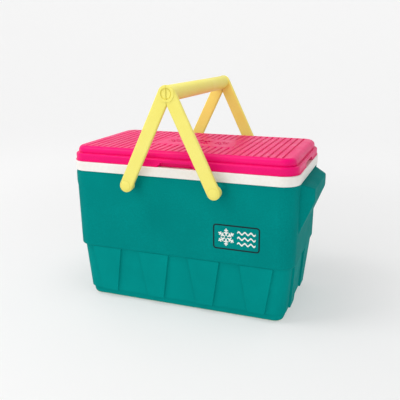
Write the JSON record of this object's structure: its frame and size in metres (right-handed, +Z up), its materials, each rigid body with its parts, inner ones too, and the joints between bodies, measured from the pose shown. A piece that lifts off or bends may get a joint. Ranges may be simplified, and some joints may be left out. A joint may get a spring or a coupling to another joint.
{
  "type": "ice chest",
  "caption": "Moulded, insulated ice chest with a stepped body, a white rim, a lift-off lid, end grip ledges and two swing-up bail handles that meet above the lid.",
  "frame": {"origin": "bottom centre of the base, on the surface that the cooler stands on", "axes": "+X along the long side to the right end, +Y from the front to the rear, +Z up"},
  "size_m": [0.489, 0.3164, 0.4358],
  "materials": {
    "teal_plastic": "satin",
    "white_plastic": "satin",
    "pink_plastic": "satin",
    "yellow_plastic": "satin",
    "foam": "matte",
    "steel": "satin"
  },
  "bodies": {
    "cooler": {"outer_shell": "teal_plastic", "inner_liner": "white_plastic", "body_insulation": "foam", "pivot_post_front_left": "teal_plastic", "pivot_bush_front_left": "yellow_plastic", "pivot_post_rear_left": "teal_plastic", "pivot_bush_rear_left": "yellow_plastic", "pivot_post_front_right": "teal_plastic", "pivot_bush_front_right": "yellow_plastic", "pivot_post_rear_right": "teal_plastic", "pivot_bush_rear_right": "yellow_plastic"},
    "lid": {"lid_cover": "pink_plastic", "lid_pan": "white_plastic", "lid_insulation": "foam"},
    "left_handle": {"left_handle": "yellow_plastic", "pivot_pin_front_left": "steel", "retaining_clip_front_left": "steel", "pivot_pin_rear_left": "steel", "retaining_clip_rear_left": "steel"},
    "right_handle": {"right_handle": "yellow_plastic", "pivot_pin_front_right": "steel", "retaining_clip_front_right": "steel", "pivot_pin_rear_right": "steel", "retaining_clip_rear_right": "steel"}
  },
  "joints": [
    {"name": "lid_lift", "type": "slide", "parent": "cooler", "child": "lid", "axis": [0, 0, 1], "range_m": [0, 0.085]},
    {"name": "left_handle_swing", "type": "hinge", "parent": "cooler", "child": "left_handle", "pos_m": [-0.084, 0, 0.254], "axis": [0, -1, 0], "range_deg": [0, 152]},
    {"name": "right_handle_swing", "type": "hinge", "parent": "cooler", "child": "right_handle", "pos_m": [0.084, 0, 0.254], "axis": [0, 1, 0], "range_deg": [0, 152]}
  ]
}
